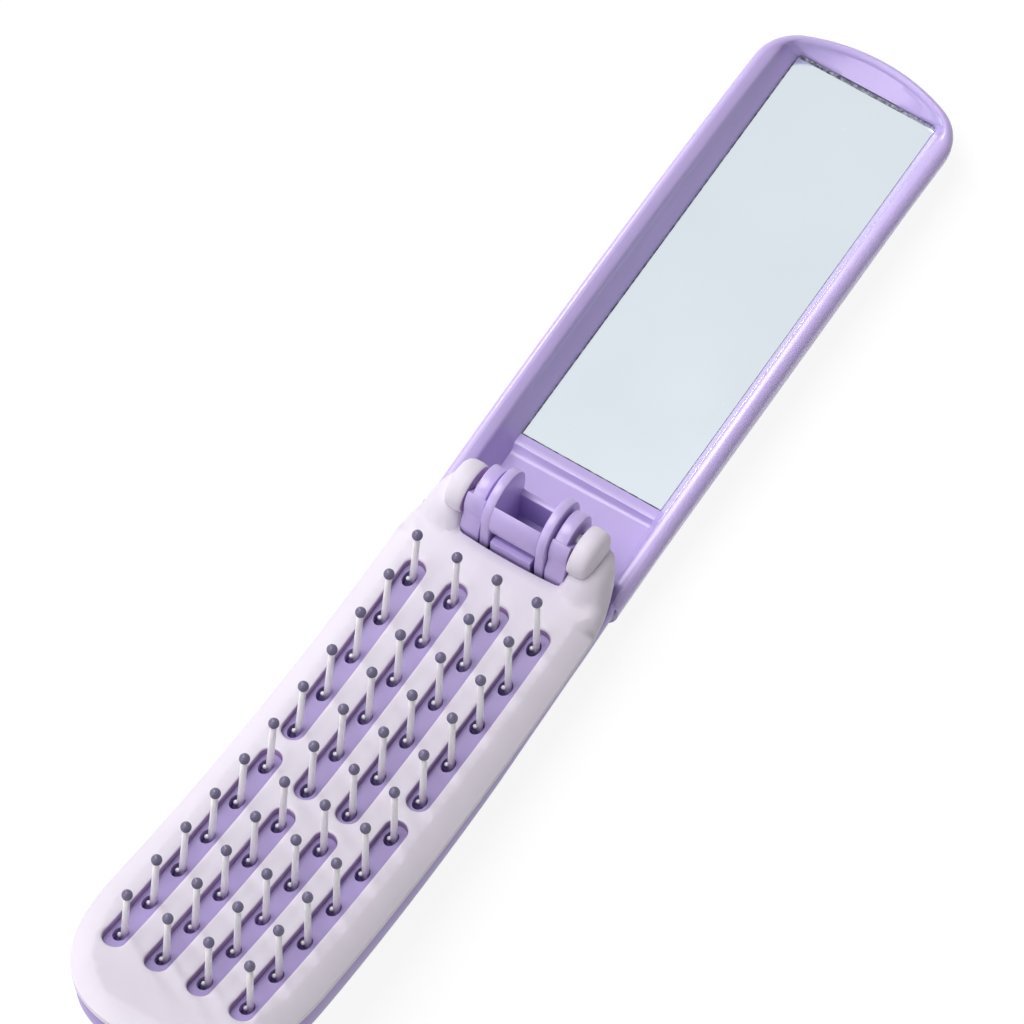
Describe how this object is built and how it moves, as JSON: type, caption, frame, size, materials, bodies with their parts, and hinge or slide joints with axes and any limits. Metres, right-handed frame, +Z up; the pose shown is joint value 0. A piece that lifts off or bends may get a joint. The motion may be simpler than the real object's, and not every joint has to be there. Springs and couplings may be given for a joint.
{
  "type": "folding hairbrush with mirror",
  "caption": "Pocket hairbrush that folds in the middle: a curved head whose rows of round-tipped bristles tilt as it closes, hinged to a tray handle that holds a mirror.",
  "frame": {"origin": "middle of the open brush's footprint, on the surface that it rests on", "axes": "+Y from the head towards the handle's end, +Z up out of the bristle face and the mirror, X across the brush along the fold axis"},
  "size_m": [0.0362, 0.2106, 0.0335],
  "materials": {
    "white_plastic": "glossy ABS, white with a lilac tint",
    "violet_plastic": "glossy ABS, violet",
    "bed_plastic": "satin polypropylene, violet",
    "lilac_plastic": "glossy ABS, lilac",
    "bristle_plastic": "satin nylon, white",
    "bead_plastic": "glossy rounded ends, grey violet",
    "mirror": "silvered glass",
    "foam": "closed-cell foam tape",
    "steel": "plain steel"
  },
  "bodies": {
    "head": {"front_plate": "white_plastic", "head_back_shell": "violet_plastic", "bristle_bed": "bed_plastic", "hinge_pin_left": "steel", "hinge_pin_right": "steel", "slide_spring": "steel"},
    "handle": {"handle_shell": "lilac_plastic", "hinge_drum": "lilac_plastic", "mirror_glass": "mirror", "mirror_pad": "foam"},
    "slide": {"slide_plate": "bed_plastic"},
    "row_01": {"bristle_row_01": "bristle_plastic", "bristle_tips_01": "bead_plastic"},
    "row_02": {"bristle_row_02": "bristle_plastic", "bristle_tips_02": "bead_plastic"},
    "row_03": {"bristle_row_03": "bristle_plastic", "bristle_tips_03": "bead_plastic"},
    "row_04": {"bristle_row_04": "bristle_plastic", "bristle_tips_04": "bead_plastic"},
    "row_05": {"bristle_row_05": "bristle_plastic", "bristle_tips_05": "bead_plastic"},
    "row_06": {"bristle_row_06": "bristle_plastic", "bristle_tips_06": "bead_plastic"},
    "row_07": {"bristle_row_07": "bristle_plastic", "bristle_tips_07": "bead_plastic"},
    "row_08": {"bristle_row_08": "bristle_plastic", "bristle_tips_08": "bead_plastic"},
    "row_09": {"bristle_row_09": "bristle_plastic", "bristle_tips_09": "bead_plastic"},
    "row_10": {"bristle_row_10": "bristle_plastic", "bristle_tips_10": "bead_plastic"},
    "row_11": {"bristle_row_11": "bristle_plastic", "bristle_tips_11": "bead_plastic"}
  },
  "joints": [
    {"name": "fold", "type": "hinge", "parent": "head", "child": "handle", "pos_m": [0, 0.003, 0.0165], "axis": [1, 0, 0], "range_deg": [0, 177]},
    {"name": "slide_travel", "type": "slide", "parent": "head", "child": "slide", "axis": [0, 1, 0], "range_m": [0, 0.00104]},
    {"name": "row_tilt_01", "type": "hinge", "parent": "head", "child": "row_01", "pos_m": [0, -0.01256, 0.00762], "axis": [1, 0, 0], "range_deg": [0, 20.2]},
    {"name": "row_tilt_02", "type": "hinge", "parent": "head", "child": "row_02", "pos_m": [0, -0.02041, 0.0075], "axis": [1, 0, 0], "range_deg": [0, 20.2]},
    {"name": "row_tilt_03", "type": "hinge", "parent": "head", "child": "row_03", "pos_m": [0, -0.02826, 0.00765], "axis": [1, 0, 0], "range_deg": [0, 20.2]},
    {"name": "row_tilt_04", "type": "hinge", "parent": "head", "child": "row_04", "pos_m": [0, -0.0361, 0.00809], "axis": [1, 0, 0], "range_deg": [0, 20.2]},
    {"name": "row_tilt_05", "type": "hinge", "parent": "head", "child": "row_05", "pos_m": [0, -0.04392, 0.00879], "axis": [1, 0, 0], "range_deg": [0, 20.2]},
    {"name": "row_tilt_06", "type": "hinge", "parent": "head", "child": "row_06", "pos_m": [0, -0.0517, 0.00978], "axis": [1, 0, 0], "range_deg": [0, 20.2]},
    {"name": "row_tilt_07", "type": "hinge", "parent": "head", "child": "row_07", "pos_m": [0, -0.05945, 0.01103], "axis": [1, 0, 0], "range_deg": [0, 20.2]},
    {"name": "row_tilt_08", "type": "hinge", "parent": "head", "child": "row_08", "pos_m": [0, -0.06715, 0.01257], "axis": [1, 0, 0], "range_deg": [0, 20.2]},
    {"name": "row_tilt_09", "type": "hinge", "parent": "head", "child": "row_09", "pos_m": [0, -0.07479, 0.01437], "axis": [1, 0, 0], "range_deg": [0, 20.2]},
    {"name": "row_tilt_10", "type": "hinge", "parent": "head", "child": "row_10", "pos_m": [0, -0.08236, 0.01644], "axis": [1, 0, 0], "range_deg": [0, 20.2]},
    {"name": "row_tilt_11", "type": "hinge", "parent": "head", "child": "row_11", "pos_m": [0, -0.08986, 0.01878], "axis": [1, 0, 0], "range_deg": [0, 20.2]}
  ],
  "couplings": [
    {"joint": "slide_travel", "follows": "fold", "m_per_rad": 0.000336},
    {"joint": "row_tilt_01", "follows": "fold", "ratio": 0.114},
    {"joint": "row_tilt_02", "follows": "fold", "ratio": 0.114},
    {"joint": "row_tilt_03", "follows": "fold", "ratio": 0.114},
    {"joint": "row_tilt_04", "follows": "fold", "ratio": 0.114},
    {"joint": "row_tilt_05", "follows": "fold", "ratio": 0.114},
    {"joint": "row_tilt_06", "follows": "fold", "ratio": 0.114},
    {"joint": "row_tilt_07", "follows": "fold", "ratio": 0.114},
    {"joint": "row_tilt_08", "follows": "fold", "ratio": 0.114},
    {"joint": "row_tilt_09", "follows": "fold", "ratio": 0.114},
    {"joint": "row_tilt_10", "follows": "fold", "ratio": 0.114},
    {"joint": "row_tilt_11", "follows": "fold", "ratio": 0.114}
  ]
}
